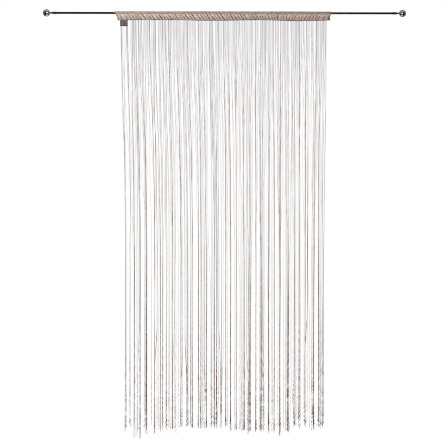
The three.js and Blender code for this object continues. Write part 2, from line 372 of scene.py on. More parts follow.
FACE_SHIFT = 370 * MM  # far enough along the cloth that the two walls' gathers differ
TUCK_PLACE = 3.5 * MM  # of the shallow tuck that the knotted threads pull, from the right end
TUCK_WIDTH = 2.2 * MM
TUCK_DEPTH = 0.15  # of the gathers' height there
CREASE_SHAPE = 0.72  # the gathers' shape under which a place lies in a crease
CREASE_HEIGHT = 3.0 * MM  # how high gathers stand whose creases count as fully deep, for the fold's shape and the painted crease shade
FOLD_CREASE = 0.08  # how deep the creases still are over the rod, of the fold's radius
FOLD_LUMPS = 0.04  # of the same radius
WALL_BELLY = 0.6 * MM  # how far a wall bows out between the rod and the seam
CRUMPLE = 0.5 * MM  # the cloth's small unevenness, less over the rod, which stretches it
CRUMPLE_FROM = 12 * MM

# Here and in the strings, noise is read at a place times a pace, in swings a metre. A number that
# isn't a place only keeps one use of noise apart from the next.


def smooth(share):
    """Eases a share of the way from 0 to 1, and holds it there beyond."""
    share = min(max(share, 0.0), 1.0)
    return share * share * (3 - 2 * share)


def between(rows, at):
    """Reads a table of (place, value) rows between its places, in a straight line."""
    for (low_at, low_value), (high_at, high_value) in zip(rows, rows[1:]):
        if at <= high_at:
            share = min(max((at - low_at) / (high_at - low_at), 0.0), 1.0)
            return low_value + (high_value - low_value) * share
    return rows[-1][1]


def edge_depth(x):
    """How deep the heading's lower edge hangs at a place along it, in metres."""
    return (between(EDGE_DEPTHS, x) + EDGE_WAVER * noise.noise((x * 70, 0.2, 6.1))) * MM


def gather_shape(x, depth, face):
    """The gathers' shape at a place on a wall: 0 in a crease between two of them, 1 on top of one."""
    along = x + face * FACE_SHIFT
    place = along / GATHER_PITCH + GATHER_STRAY * noise.noise((along * 41, depth * 9, face * 5.3))
    broad = abs(math.sin(math.pi * place)) ** 0.6
    fine = abs(math.sin(math.pi * (FINE_PER_GATHER * place + 0.4))) ** 0.8
    from_tuck = (heading_right - TUCK_PLACE - x) / TUCK_WIDTH
    tuck = 1 - TUCK_DEPTH * math.exp(-from_tuck * from_tuck)
    return ((1 - FINE_SHARE) * broad + FINE_SHARE * fine) * tuck


def gather_height(x, depth, face):
    """How high the gathers stand at a place, in metres."""
    reach_up = smooth(2.2 * noise.noise((x * 19 + face, face * 2.2, 4.7)) + between(LONG_SHARES, x))
    low = between(GATHER_HEIGHTS, depth / MM)
    height = low + (between(LONG_HEIGHTS, depth / MM) - low) * reach_up
    crowd = smooth(0.7 + 1.4 * noise.noise((x * 21, face * 3.1, 0.7)))
    return height * (SPARSE_HEIGHT + (1 - SPARSE_HEIGHT) * crowd) * between(FULLNESS, x) * MM


def wall_half(x, depth, face):
    """Distance from the middle of the heading to a wall's outer face, at a place on that wall."""
    share = min(depth / SEAM_DEPTH, 1)
    half = TOP_RADIUS + (SEAM_HALF - TOP_RADIUS) * share + WALL_BELLY * math.sin(math.pi * share)
    small = CRUMPLE * noise.noise((x * 200, depth * 110, face * 2.7 + 9)) * min(depth / CRUMPLE_FROM, 1)
    return half + small + gather_height(x, depth, face) * (gather_shape(x, depth, face) - GATHER_SUNK)


def crease_depth(x, depth, face):
    """How deep in a crease between two gathers a place on a wall lies, from 0 to 1."""
    hollow = 1 - smooth(gather_shape(x, depth, face) / CREASE_SHAPE)
    return hollow * smooth(gather_height(x, depth, face) / CREASE_HEIGHT)


def make_cloth(piece, thickness, offset):
    """Turns a sheet's faces outwards and gives it its thickness, all of it inwards for an offset of -1."""
    edit(piece)
    bpy.ops.mesh.select_all(action="SELECT")
    bpy.ops.mesh.normals_make_consistent(inside=False)
    bpy.ops.object.mode_set(mode="OBJECT")
    thicken = piece.modifiers.new("cloth", "SOLIDIFY")
    thicken.thickness = thickness
    thicken.offset = offset
    bpy.ops.object.modifier_apply(modifier=thicken.name)
    bpy.ops.object.shade_smooth_by_angle(angle=math.radians(60))


# The strip starts as a flat grid, whose rows run up the back wall, over the rod and down the front.
deselect_all()
profile_rows = 2 * WALL_ROWS + ARCH_ROWS
bpy.ops.mesh.primitive_grid_add(x_subdivisions=COLUMNS, y_subdivisions=profile_rows, size=1)
heading = bpy.context.active_object
heading.name = "heading_cloth"
creases = []
for vert in heading.data.vertices:
    x = heading_left + (vert.co.x + 0.5) * (heading_right - heading_left)
    row = (vert.co.y + 0.5) * profile_rows
    from_end = min(x - heading_left, heading_right - x)
    pinch = 1 - END_PINCH * (1 - smooth(from_end / END_TURN)) * (1.0 if x > 0 else LEFT_PINCH)
    if WALL_ROWS <= row <= WALL_ROWS + ARCH_ROWS:
        turn = math.pi * (row - WALL_ROWS) / ARCH_ROWS
        face = 1 if turn < math.pi / 2 else -1
        lumps = 1 + FOLD_LUMPS * noise.noise((x * 60, turn * 2, 4.4))
        lip = smooth(1 - (x - heading_left) / LIP_RUN) * smooth(5 * math.sin(turn))
        x -= LIP * lip
        creases.append(crease_depth(x, 0, face) * (1 - math.sin(turn) ** 3))
        radius = TOP_RADIUS * (lumps - FOLD_CREASE * creases[-1] - LIP_DROOP * lip)
        lean = FOLD_LEAN * between(LEANS, x) * smooth(from_end / FOLD_LEAN_RUN)
        x -= lean * TOP_RADIUS * math.sin(turn)
        rise = between(CROWN_RISES, x) * MM
        vert.co = (x, radius * math.cos(turn) * pinch, (radius + rise) * math.sin(turn))
    else:
        face = 1 if row < WALL_ROWS else -1
        share = (WALL_ROWS - row if face > 0 else row - WALL_ROWS - ARCH_ROWS) / WALL_ROWS
        depth = share * edge_depth(x)
        creases.append(crease_depth(x, depth, face))
        y = face * wall_half(x, depth, face) * (pinch if depth < SEAM_DEPTH else 1)
        bulge = smooth(1 - (x - heading_left) / BULGE_RUN)
        bulge *= LEFT_BULGE * math.sin(math.pi * min(depth / BULGE_DEPTH, 1))
        vert.co = (x + between(LEANS, x) * depth - bulge, y, -depth)
# How deep in a crease each point lies is kept on the cloth, where it gives the painted crease shade.
crease = heading.data.attributes.new("crease", "FLOAT", "POINT")
crease.data.foreach_set("value", creases)
make_cloth(heading, CLOTH, -1)

BAND_SPACING = math.pi / 10  # of a wave texture's bands at a scale of 1; diagonal ones have twice that
RIB_WIDTH = 1.366 * MM
COURSE_HEIGHT = 1.047 * MM
STREAK_SIZE = (10.53 * MM, 33.3 * MM, 5.88 * MM)  # of one shade of the yarn, as knitted
STREAK_SLANT = 30  # degrees
SHADING_BAND_FROM = -38 * MM  # the heights between which painted light and shade change the cloth's colour
SHADING_BAND_TO = 9 * MM
RIGHTWARD_SHADE_FROM = -100 * MM  # the places between which painted shade darkens the cloth towards the right
RIGHTWARD_SHADE_TO = 450 * MM


def knitted_cloth(name):
    """Fine taupe knit in polyester yarn: matt, with a close rib, and the yarn's own changes of colour.
    Painted shade darkens it towards the right and in the creases between its gathers, and painted light and
    shade by height give it a bright band below the rod."""
    material, tree = new_material(name)
    place = add_node(tree, "ShaderNodeTexCoord").outputs["Object"]
    ribs = add_node(
        tree, "ShaderNodeTexWave", {"wave_type": "BANDS", "bands_direction": "X"},
        links={"Vector": place},
        values={"Scale": BAND_SPACING / RIB_WIDTH, "Distortion": 1.2, "Detail": 2.0, "Detail Scale": 2.0},
    )
    rows = add_node(
        tree, "ShaderNodeTexWave", {"wave_type": "BANDS", "bands_direction": "Z"},
        links={"Vector": place},
        values={"Scale": BAND_SPACING / COURSE_HEIGHT, "Distortion": 1.5, "Detail": 2.0, "Detail Scale": 2.0},
    )
    knit = add_node(
        tree, "ShaderNodeMath", {"operation": "MULTIPLY"},
        links={0: ribs.outputs["Fac"], 1: rows.outputs["Fac"]},
    )
    streak_place = add_node(
        tree, "ShaderNodeMapping", links={"Vector": place},
        values={
            "Scale": [1 / size for size in STREAK_SIZE],
            "Rotation": (0, math.radians(STREAK_SLANT), 0),
        },
    )
    streaks = add_node(
        tree, "ShaderNodeTexNoise", links={"Vector": streak_place.outputs["Vector"]},
        values={"Scale": 1.0, "Detail": 5.0, "Roughness": 0.65},
    )
    base = add_node(
        tree, "ShaderNodeValToRGB", links={"Fac": streaks.outputs["Fac"]},
        stops=[
            (0.3, "#8d8177"), (0.42, "#b8a9a2"), (0.5, "#cdc1bb"), (0.58, "#dccdb7"), (0.68, "#efdfcd"),
            (0.78, "#ae9f94"),
        ],
    )
    parts = add_node(tree, "ShaderNodeSeparateXYZ", links={"Vector": place})
    height = add_node(
        tree, "ShaderNodeMapRange", links={"Value": parts.outputs["Z"]},
        values={"From Min": SHADING_BAND_FROM, "From Max": SHADING_BAND_TO},
    )
    # Painted light and shade by height: a painted highlight band just below the rod, darker from the rod's
    # axis up over the fold, and darker at the lower edge.
    painted_height_light = add_node(
        tree, "ShaderNodeValToRGB", links={"Fac": height.outputs["Result"]},
        stops=[
            (0.02, "#937872"), (0.08, "#ded2cd"), (0.2, "#eee7e3"), (0.3, "#e6deda"), (0.44, "#f7f2ec"),
            (0.6, "#fffdf6"), (0.7, "#d3c9c4"), (0.82, "#c8beba"), (0.9, "#d0caca"), (1.0, "#e6e2e4"),
        ],
    )
    shade = add_node(
        tree, "ShaderNodeValToRGB", links={"Fac": knit.outputs["Value"]},
        stops=[(0.0, "#d9d9d9"), (0.5, "#ffffff")],
    )
    along = add_node(
        tree, "ShaderNodeMapRange", links={"Value": parts.outputs["X"]},
        values={"From Min": RIGHTWARD_SHADE_FROM, "From Max": RIGHTWARD_SHADE_TO},
    )
    # Painted shade: the cloth a little darker towards the right, away from the light.
    painted_shade_rightward = add_node(
        tree, "ShaderNodeValToRGB", links={"Fac": along.outputs["Result"]},
        stops=[(0.0, "#ffffff"), (0.6, "#f5f5f5"), (1.0, "#eae9e8")],
    )
    in_crease = add_node(tree, "ShaderNodeAttribute", {"attribute_name": "crease"})
    # Painted shade in the creases between the gathers, darkest where they are deepest.
    painted_crease_shade = add_node(
        tree, "ShaderNodeValToRGB", links={"Fac": in_crease.outputs["Fac"]},
        stops=[(0.0, "#ffffff"), (0.3, "#b09f95"), (0.7, "#45352c")],
    )
    colour = base.outputs["Color"]
    for layer in (painted_height_light, shade, painted_shade_rightward, painted_crease_shade):
        darker = add_node(
            tree, "ShaderNodeMix", {"data_type": "RGBA", "blend_type": "MULTIPLY"},
            links={6: colour, 7: layer.outputs["Color"]}, values={0: 1.0},
        )
        colour = darker.outputs[2]
    bump = add_node(
        tree, "ShaderNodeBump", links={"Height": knit.outputs["Value"]},
        values={"Strength": 0.5, "Distance": 0.3 * MM},
    )
    shader = add_node(
        tree, "ShaderNodeBsdfPrincipled",
        links={"Base Color": colour, "Normal": bump.outputs["Normal"]},
        values={"Roughness": 0.88, "Sheen Weight": 0.15, "Sheen Roughness": 0.5},
    )
    add_node(tree, "ShaderNodeOutputMaterial", links={"Surface": shader.outputs["BSDF"]})
    return material


dress(heading, knitted_cloth("taupe_knitted_polyester"), "heading", "heading")


# Seam, edging and end knot. Polyester sewing thread: a row of lockstitches through both walls and
# the strings, an overlock round the raw lower edges, and the threads' ends knotted at the right.

STITCH_STEP = 2.6 * MM
STITCH_RADIUS = 0.22 * MM
# One stitch: shares of its step along the seam, and how far out of the cloth, in millimetres.
STITCH_PATH = [(0.2, -0.15), (0.5, 0.25), (0.85, -0.15)]
OVERLOCK_STEP = 2.4 * MM
OVERLOCK_RADIUS = 0.42 * MM
OVERLOCK_BITE = 3.2 * MM  # how far it reaches up from the edge
OVERLOCK_LAP = 0.5 * MM  # how far above the edge it turns under
THREAD_TWIST = 0.8976 * MM  # one turn of its plies
THREAD_SHADE = 38.46 * MM  # how far one shade of it runs

# The overlocker's knot: a coil along the heading, its thread tail, and the root that it hangs by,
# from the knot's middle and in millimetres.
KNOT_RADIUS = 0.9 * MM  # of its thick strand
KNOT_PLACE = Vector((heading_right - 8.5 * MM, -6.5 * MM, -31.5 * MM))
KNOT_TURNS = 3.2
KNOT_STEPS = 60
KNOT_HALF_LENGTH = 3.4
KNOT_HALF_DEPTH = 1.5
KNOT_HALF_HEIGHTS = [(0, 1.9), (1, 1.0)]  # from its left end to its right
KNOT_TAIL = [(3.2, -0.4, -1.0), (4.6, -0.2, -2.4), (4.9, 0.3, -5.0), (4.5, 0.6, -7.5)]
KNOT_ROOT = [(-3.2, 0.2, 0.8), (-4.4, 2.0, 0.6), (-5.2, 4.0, -0.2)]


def on_wall(x, depth, face, out):
    """A point that stands out from a wall of the heading, at a place given as on the unslanted cloth."""
    y = face * (wall_half(x, depth, face) + out)
    return Vector((x + between(LEANS, x) * depth, y, -depth))


def thread(name, lines, radius, roundness, swells=None):
    """One mesh of threads with closed ends, each following a line of points. Swells, where they are
    given, say how much thicker than its radius each thread is at its points."""
    curve = bpy.data.curves.new(name, "CURVE")
    curve.dimensions = "3D"
    curve.bevel_depth = radius
    curve.bevel_resolution = roundness
    curve.use_fill_caps = True
    for number, line in enumerate(lines):
        spline = curve.splines.new("POLY")
        spline.points.add(len(line) - 1)
        for spline_point, point in zip(spline.points, line):
            spline_point.co = (*point, 1)
        if swells:
            spline.points.foreach_set("radius", swells[number])
    piece = bpy.data.objects.new(name, curve)
    bpy.context.scene.collection.objects.link(piece)
    deselect_all()
    piece.select_set(True)
    bpy.context.view_layer.objects.active = piece
    bpy.ops.object.convert(target="MESH")
    return piece


def sewing_thread(name, dark, middle, light):
    """Twisted sewing thread, dyed a little unevenly along its length, with a faint sheen."""
    material, tree = new_material(name)
    place = add_node(tree, "ShaderNodeTexCoord").outputs["Object"]
    dye = add_node(
        tree, "ShaderNodeTexNoise", links={"Vector": place},
        values={"Scale": 1 / THREAD_SHADE, "Detail": 3.0},
    )
    colour = add_node(
        tree, "ShaderNodeValToRGB", links={"Fac": dye.outputs["Fac"]},
        stops=[(0.36, dark), (0.5, middle), (0.64, light)],
    )
    twist = add_node(
        tree, "ShaderNodeTexWave", {"wave_type": "BANDS", "bands_direction": "DIAGONAL"},
        links={"Vector": place}, values={"Scale": 2 * BAND_SPACING / THREAD_TWIST, "Distortion": 0.5},
    )
    bump = add_node(
        tree, "ShaderNodeBump", links={"Height": twist.outputs["Fac"]},
        values={"Strength": 0.4, "Distance": 0.1 * MM},
    )
    shader = add_node(
        tree, "ShaderNodeBsdfPrincipled",
        links={"Base Color": colour.outputs["Color"], "Normal": bump.outputs["Normal"]},
        values={"Roughness": 0.6, "Sheen Weight": 0.15},
    )
    add_node(tree, "ShaderNodeOutputMaterial", links={"Surface": shader.outputs["BSDF"]})
    return material


stitches = []
stitch_x = heading_left + 2 * MM
while stitch_x < heading_right - 4 * MM:
    for face in (-1, 1):
        stitches.append([
            on_wall(stitch_x + share * STITCH_STEP, SEAM_DEPTH, face, out * MM) for share, out in STITCH_PATH
        ])
    stitch_x += STITCH_STEP
seam = thread("seam_stitches", stitches, STITCH_RADIUS, 0)
edit(seam)
finish_mesh(seam, sharp_above=70)
dress(seam, sewing_thread("taupe_sewing_thread", "#6e5f57", "#85756b", "#988a80"), "heading")

loops = []
loop_x = heading_left + 1 * MM
while loop_x < heading_right - 1.5 * MM:
    low = edge_depth(loop_x)
    half_on = loop_x + 0.5 * OVERLOCK_STEP
    under = on_wall(half_on, low + OVERLOCK_RADIUS, 1, 0)
    loops += [
        on_wall(loop_x, low - OVERLOCK_BITE, -1, OVERLOCK_RADIUS),
        on_wall(half_on, low - OVERLOCK_LAP, -1, OVERLOCK_RADIUS),
        Vector((under.x, 0, under.z)),
        on_wall(half_on, low - OVERLOCK_LAP, 1, OVERLOCK_RADIUS),
        on_wall(loop_x + OVERLOCK_STEP, low - OVERLOCK_BITE, 1, OVERLOCK_RADIUS),
    ]
    loop_x += OVERLOCK_STEP
overlock = thread("edge_overlock", [loops], OVERLOCK_RADIUS, 0)
edit(overlock)
finish_mesh(overlock, sharp_above=70)
dress(overlock, sewing_thread("russet_overlock_thread", "#3c2a26", "#6b4e47", "#a08c88"), "heading")

coil = []
for step in range(KNOT_STEPS + 1):
    share = step / KNOT_STEPS
    around = share * KNOT_TURNS * 2 * math.pi
    half_height = between(KNOT_HALF_HEIGHTS, share)
    along = KNOT_HALF_LENGTH * (2 * share - 1)
    coil.append((along, KNOT_HALF_DEPTH * math.sin(around), half_height * math.cos(around)))
strands = [[KNOT_PLACE + Vector(point) * MM for point in strand] for strand in (coil, KNOT_TAIL, KNOT_ROOT)]
knot = thread("thread_knot", strands, KNOT_RADIUS, 1)
edit(knot)
finish_mesh(knot, sharp_above=70)
dress(knot, sewing_thread("dark_brown_thread", "#1f1714", "#2c211d", "#3b2d27"), "heading")


# Strings. Soft two-ply polyester yarn about 0.9 mm thick, dyed in short lengths of taupe, brown,
# rust and grey. They are sewn side by side into the heading's seam, cling together in locks further
# down, and are left with raw, crimped ends.

STRINGS_LEFT = -500 * MM  # the ends of the sewn row
STRINGS_RIGHT = 496 * MM
FOOT_LEFT = -479 * MM  # the edges of the curtain's foot
FOOT_RIGHT = 485 * MM
FOOT_STRETCH = 1.012  # of the widths in the table below
SEWN_DEPTH = 31 * MM
SEWN_WANDER = 5.2 * MM  # how far the strings stray together from an even row
YARN_RADIUS = 0.44 * MM
YARN_ROUNDNESS = 1  # of a curve's bevel, which gives six sides
YARNS_PER_LOCK = 5
SEWN_ORDER = (2, 1, 3, 0, 4)  # where a lock's yarns are sewn, from the left, with its core in the middle
LOCKS_PER_STRETCH = 6
LOCKS_PER_PIECE = 18

# Every second or third lock is strong: it keeps a core of yarns that hang close together from the
# heading down, draws loose ones from its neighbours, and is deep in colour. A weak lock keeps one
# yarn, and an empty one loses most of its own. What a lock draws with is its pull.
STRONG_CORE = 3
STRONG_PULL = (0.9, 1.5)
WEAK_PULL = 0.45
EMPTY_PULL = 0.06
OWN_PULL = 2.0  # how much more it draws its own loose yarns than its neighbours' ones

# The comb from left to right in stretches of six locks, in millimetres: how wide the stretch is at
# the foot, how deep its locks hang below the rod, and how much further its longest strings reach.
STRETCHES = [
    {"width": 84, "reach": 1992, "tip": 52.9},
    {"width": 84, "reach": 1999, "tip": 20.7},
    {"width": 82, "reach": 1998, "tip": 16.1},
    {"width": 80, "reach": 1987, "tip": 13.8},
    {"width": 78, "reach": 1985, "tip": 11.5},
    {"width": 78, "reach": 1988, "tip": 13.8},
    {"width": 78, "reach": 1993, "tip": 18.4},
    {"width": 78, "reach": 2002, "tip": 16.1},
    {"width": 78, "reach": 2004, "tip": 18.4},
    {"width": 78, "reach": 2008, "tip": 20.7},
    {"width": 78, "reach": 1978, "tip": 13.8},
    {"width": 77, "reach": 1982, "tip": 16.1},
]

# How much of the way from its place in the seam to its place at the foot a lock has come, at each
# depth in millimetres.
DRIFT = [(31, 0), (60, 0), (300, 0.33), (700, 0.8), (1150, 1), (2100, 1)]

# The label parts the first strings and the seam's end crowds the last. The first number is where a
# string would be sewn in an even row, the second where it is, in millimetres from the row's left end.
ROW_WIDTH = (STRINGS_RIGHT - STRINGS_LEFT) / MM
SEWN_PLACES = [
    (0, 1), (14, 9), (15, 12), (18, 21), (19, 27), (40, 37), (41, 52), (56, 62), (70, 70),
    (ROW_WIDTH - 20, ROW_WIDTH - 20), (ROW_WIDTH, ROW_WIDTH - 6),
]

# Where a string starts to be drawn to its lock, and over what length, in millimetres. A lock's own
# core comes early, and one string from each empty lock comes late.
WAYS_IN = {
    "core": {"start": (40, 160), "length": (200, 600)},
    "late": {"start": (500, 1000), "length": (300, 600)},
    "plain": {"start": (20, 220), "length": (300, 1000)},
}
BESIDE_SHARE = 0.27  # of the loose strings, which hang beside their lock and not in it
JOINING_SHARE = 0.6  # of those, which join it further down
JOINING_LENGTH = 250 * MM
STRAY_SHARE = 0.1  # of the loose strings, which hang anywhere near their lock
STRAY_REACH = 10  # millimetres to either side
LONG_SHARE = 0.3  # of all strings, which reach past the others of their lock
NEVER = 9.0  # metres down, deeper than any string reaches
SHORT_BY = 24 * MM  # the most by which a string ends short of its lock's reach

# The points that a string is drawn through stand close together where it is crimped.
LONG_STEP = 38 * MM
FOOT_STEP = 13 * MM
FOOT_LENGTH = 620 * MM
CRIMP_STEP = 4 * MM
CRIMP_LENGTH = 200 * MM
TIP_LENGTH = 90 * MM  # of the loosest end, where the crimp is deepest


def uneven(index, use):
    """A number from -1 to 1 that varies from index to index, and is the same on each run."""
    return 2 * ((index * 0.618034 + use * 0.414214) % 1) - 1


chance = random.Random(20)
locks = []
sewn_width = (STRINGS_RIGHT - STRINGS_LEFT) / (len(STRETCHES) * LOCKS_PER_STRETCH)
stretch_left = FOOT_LEFT
for stretch in STRETCHES:
    pitch = stretch["width"] * FOOT_STRETCH * MM / LOCKS_PER_STRETCH
    for spot in range(LOCKS_PER_STRETCH):
        number = len(locks)
        strong = number * 7 % 16 < 7
        empty = not strong and number % 3 != 1
        offset = chance.uniform(-0.2, 0.2) if strong else chance.uniform(-0.42, 0.42)
        locks.append({
            "number": number,
            "strong": strong,
            "core": STRONG_CORE if strong else (0 if empty else 1),
            "sewn_x": STRINGS_LEFT + sewn_width * (number + 0.5 + offset),
            "sewn_shift": chance.uniform(-4, 4) * MM,  # of its middle, high up
            "foot_x": stretch_left + pitch * (spot + 0.5 + offset),
            "foot_y": 1.6 * MM * uneven(number, 4),  # in front of the others or behind them
            "reach": (stretch["reach"] + 6 * uneven(number, 6)) * MM,
            "tip": stretch["tip"] * MM,
            "pull": chance.uniform(*STRONG_PULL) if strong else (EMPTY_PULL if empty else WEAK_PULL),
            "half_width": (0.6 + 1.2 * chance.random() + 2.2 * chance.random() ** 6) * MM,  # a few wide
            "side_gap": chance.choice((-1, 1)) * chance.uniform(7, 12) * MM,  # to a string beside it
            "joins_at": chance.uniform(700, 1900) * MM,  # where that string comes in
            "crimp_length": chance.uniform(15, 23) * MM,
            "crimp_phase": chance.uniform(0, 6.28),
        })
    stretch_left += stretch["width"] * FOOT_STRETCH * MM

# The first two locks hang under the label's two edges, and the last is spread at the curtain's edge.
locks[0].update(sewn_x=STRINGS_LEFT + 6 * MM, sewn_shift=0, foot_x=FOOT_LEFT + 4 * MM)
locks[1].update(sewn_x=STRINGS_LEFT + 30 * MM, sewn_shift=0)
locks[-1].update(sewn_x=STRINGS_RIGHT - 8 * MM, foot_x=FOOT_RIGHT - 10 * MM, half_width=3 * MM)


def eased(at, start, length):
    """How much of a change is done at a place, if it starts at one place and takes a length."""
    return smooth((at - start) / length)


def draw_yarn(lock, place):
    """Draws by chance where one of a lock's strings is sewn, which lock it ends up in, how it hangs
    there, and its colour."""
    number = lock["number"]
    core = place < lock["core"]
    beside_middle = sewn_width * ((SEWN_ORDER[place] + 0.5) / YARNS_PER_LOCK - 0.5)
    if core:
        home = lock
        way_in = WAYS_IN["core"]
        sewn_x = lock["sewn_x"] + lock["sewn_shift"] + 0.5 * beside_middle + chance.gauss(0, 1.2) * MM
    else:
        near = locks[max(0, number - 1):number + 2]
        pulls = [other["pull"] * (OWN_PULL if other is lock else 1.0) for other in near]
        home = chance.choices(near, pulls)[0]
        way_in = WAYS_IN["late" if place == 0 else "plain"]
        sewn_x = STRINGS_LEFT + sewn_width * (number + 0.5) + beside_middle
        sewn_x += SEWN_WANDER * noise.noise((sewn_x * 48, 0.5, 2.2)) + chance.gauss(0, 0.9) * MM
    gather_from = chance.uniform(*way_in["start"]) * MM
    gather_length = chance.uniform(*way_in["length"]) * MM
    beside = not core and chance.random() < BESIDE_SHARE
    inside_x = home["half_width"] * chance.uniform(-1, 1)
    inside_y = max(home["half_width"], 1.2 * MM) * chance.uniform(-1, 1) + home["foot_y"]
    gap = home["side_gap"] if beside else 0.0
    joins_at = home["joins_at"] if chance.random() < JOINING_SHARE else NEVER
    if not core and chance.random() < STRAY_SHARE:
        gap = chance.uniform(-STRAY_REACH, STRAY_REACH) * MM
        joins_at = NEVER
    if home is locks[0]:
        gap = abs(gap)  # nothing hangs outside the first lock or the last
    if home is locks[-1]:
        gap = -abs(gap)
    end = home["reach"] - SHORT_BY * chance.random() ** 2.2
    if chance.random() < LONG_SHARE:
        end = home["reach"] + home["tip"] * chance.random() ** 1.2
    crimp = (0.5 + 2.9 * chance.random() ** 2) * MM
    crimp_phase = home["crimp_phase"] + chance.gauss(0, 0.7)
    dye_lot = chance.choice((0, 0, 0, 0, 7.3))  # one string in five comes from another part of the dye
    return {
        "number": number * YARNS_PER_LOCK + place,
        "home": home,
        "sewn_x": STRINGS_LEFT + between(SEWN_PLACES, (sewn_x - STRINGS_LEFT) / MM) * MM,
        "gather_from": gather_from,
        "gather_length": gather_length,
        "beside": beside,
        "inside_x": inside_x,
        "inside_y": inside_y,
        "gap": gap,
        "joins_at": joins_at,
        "end": end,
        "crimp": crimp,
        "crimp_phase": crimp_phase,
        "yarn_tone": home["number"] * 1.9 + 0.35 * chance.random() + dye_lot,
        "yarn_fade": chance.uniform(0, 0.1) if home["strong"] else chance.uniform(0.55, 1),
    }


def yarn_depths(end):
    """The depths that a string's points are at, from inside the seam down to its end."""
    depths = []
    depth = SEWN_DEPTH
    while depth < end - FOOT_LENGTH - FOOT_STEP / 2:
        depths.append(depth)
        depth += LONG_STEP
    steps = round((FOOT_LENGTH - CRIMP_LENGTH) / FOOT_STEP)
    depths += [end - FOOT_LENGTH + (FOOT_LENGTH - CRIMP_LENGTH) * step / steps for step in range(steps)]
    steps = round(CRIMP_LENGTH / CRIMP_STEP)
    depths += [end - CRIMP_LENGTH * (1 - step / steps) for step in range(steps + 1)]
    return depths


def yarn_point(yarn, depth):
    """Where a string passes at one depth."""
    home = yarn["home"]
    number = yarn["number"]

    # Its lock's line from the seam to the foot: straight, but for a shift high up that it loses on
    # the way down and a slight swerve.
    drift = (home["foot_x"] - home["sewn_x"]) * between(DRIFT, depth / MM)
    line = home["sewn_x"] + drift
    line += yarn["gap"] * (1 - eased(depth, yarn["joins_at"], JOINING_LENGTH))
    line += home["sewn_shift"] * (1 - eased(depth, 100 * MM, 1100 * MM))
    swerve = home["number"] * 3.7 + (5.5 if yarn["beside"] else 0)
    line += 0.8 * MM * noise.noise((depth * 3.1, swerve, 0.6))

    # From its own place in the seam it is drawn to that line, and closer to it further down.
    gather = eased(depth, yarn["gather_from"], yarn["gather_length"])
    loose = 1 + 0.9 * (1 - eased(depth, 900 * MM, 700 * MM))
    x = yarn["sewn_x"] + drift * (1 - gather) * 0.6
    x += (line + yarn["inside_x"] * loose - x) * gather
    y = yarn["inside_y"] * gather

    # Its own slight waver starts below the seam.
    free = eased(depth, SEWN_DEPTH, 200 * MM)
    x += 0.5 * MM * free * noise.noise((depth * 5, number * 1.7, 0.3))
    y += 1.0 * MM * free * noise.noise((depth * 5, number * 1.3, 7.9))

    # Its foot is crimped in a coil that it shares with its lock, and its tip curls to one side.
    foot = eased(depth, 1350 * MM, 650 * MM)
    tip = eased(depth, yarn["end"] - TIP_LENGTH, TIP_LENGTH)
    swing = yarn["crimp"] * (0.6 * foot + 0.8 * tip)
    wave = depth * 2 * math.pi / home["crimp_length"]
    wave += 1.8 * noise.noise((depth * 16, home["number"] * 3.1, 0.9))
    x += swing * math.sin(wave + yarn["crimp_phase"])
    y += swing * 0.8 * math.cos(0.83 * wave + yarn["crimp_phase"])
    x += 3.0 * MM * tip * tip * noise.noise((depth * 12, number * 2.3, 3.3))
    return x, y, -depth


def yarn_swell(depth, lock_number):
    """A string's thickness, as a share: its own weight draws it thin, and its foot untwists in lumps."""
    swell = 1 - 0.16 * eased(depth, 80 * MM, 400 * MM) + 0.6 * eased(depth, 1000 * MM, 850 * MM)
    lumps = 1.1 * eased(depth, 1650 * MM, 200 * MM) * noise.noise((depth * 85, lock_number * 3.3, 0.4))
    return swell * (1 + lumps)


DYE_LENGTH = 238.1 * MM  # of yarn in which the dye goes through several of its colours
SPOT_LENGTH = 12.195 * MM  # of a darker spot where the crimped yarn opens
PLY_LENGTH = 10 / 3 * MM  # of one turn of its two plies


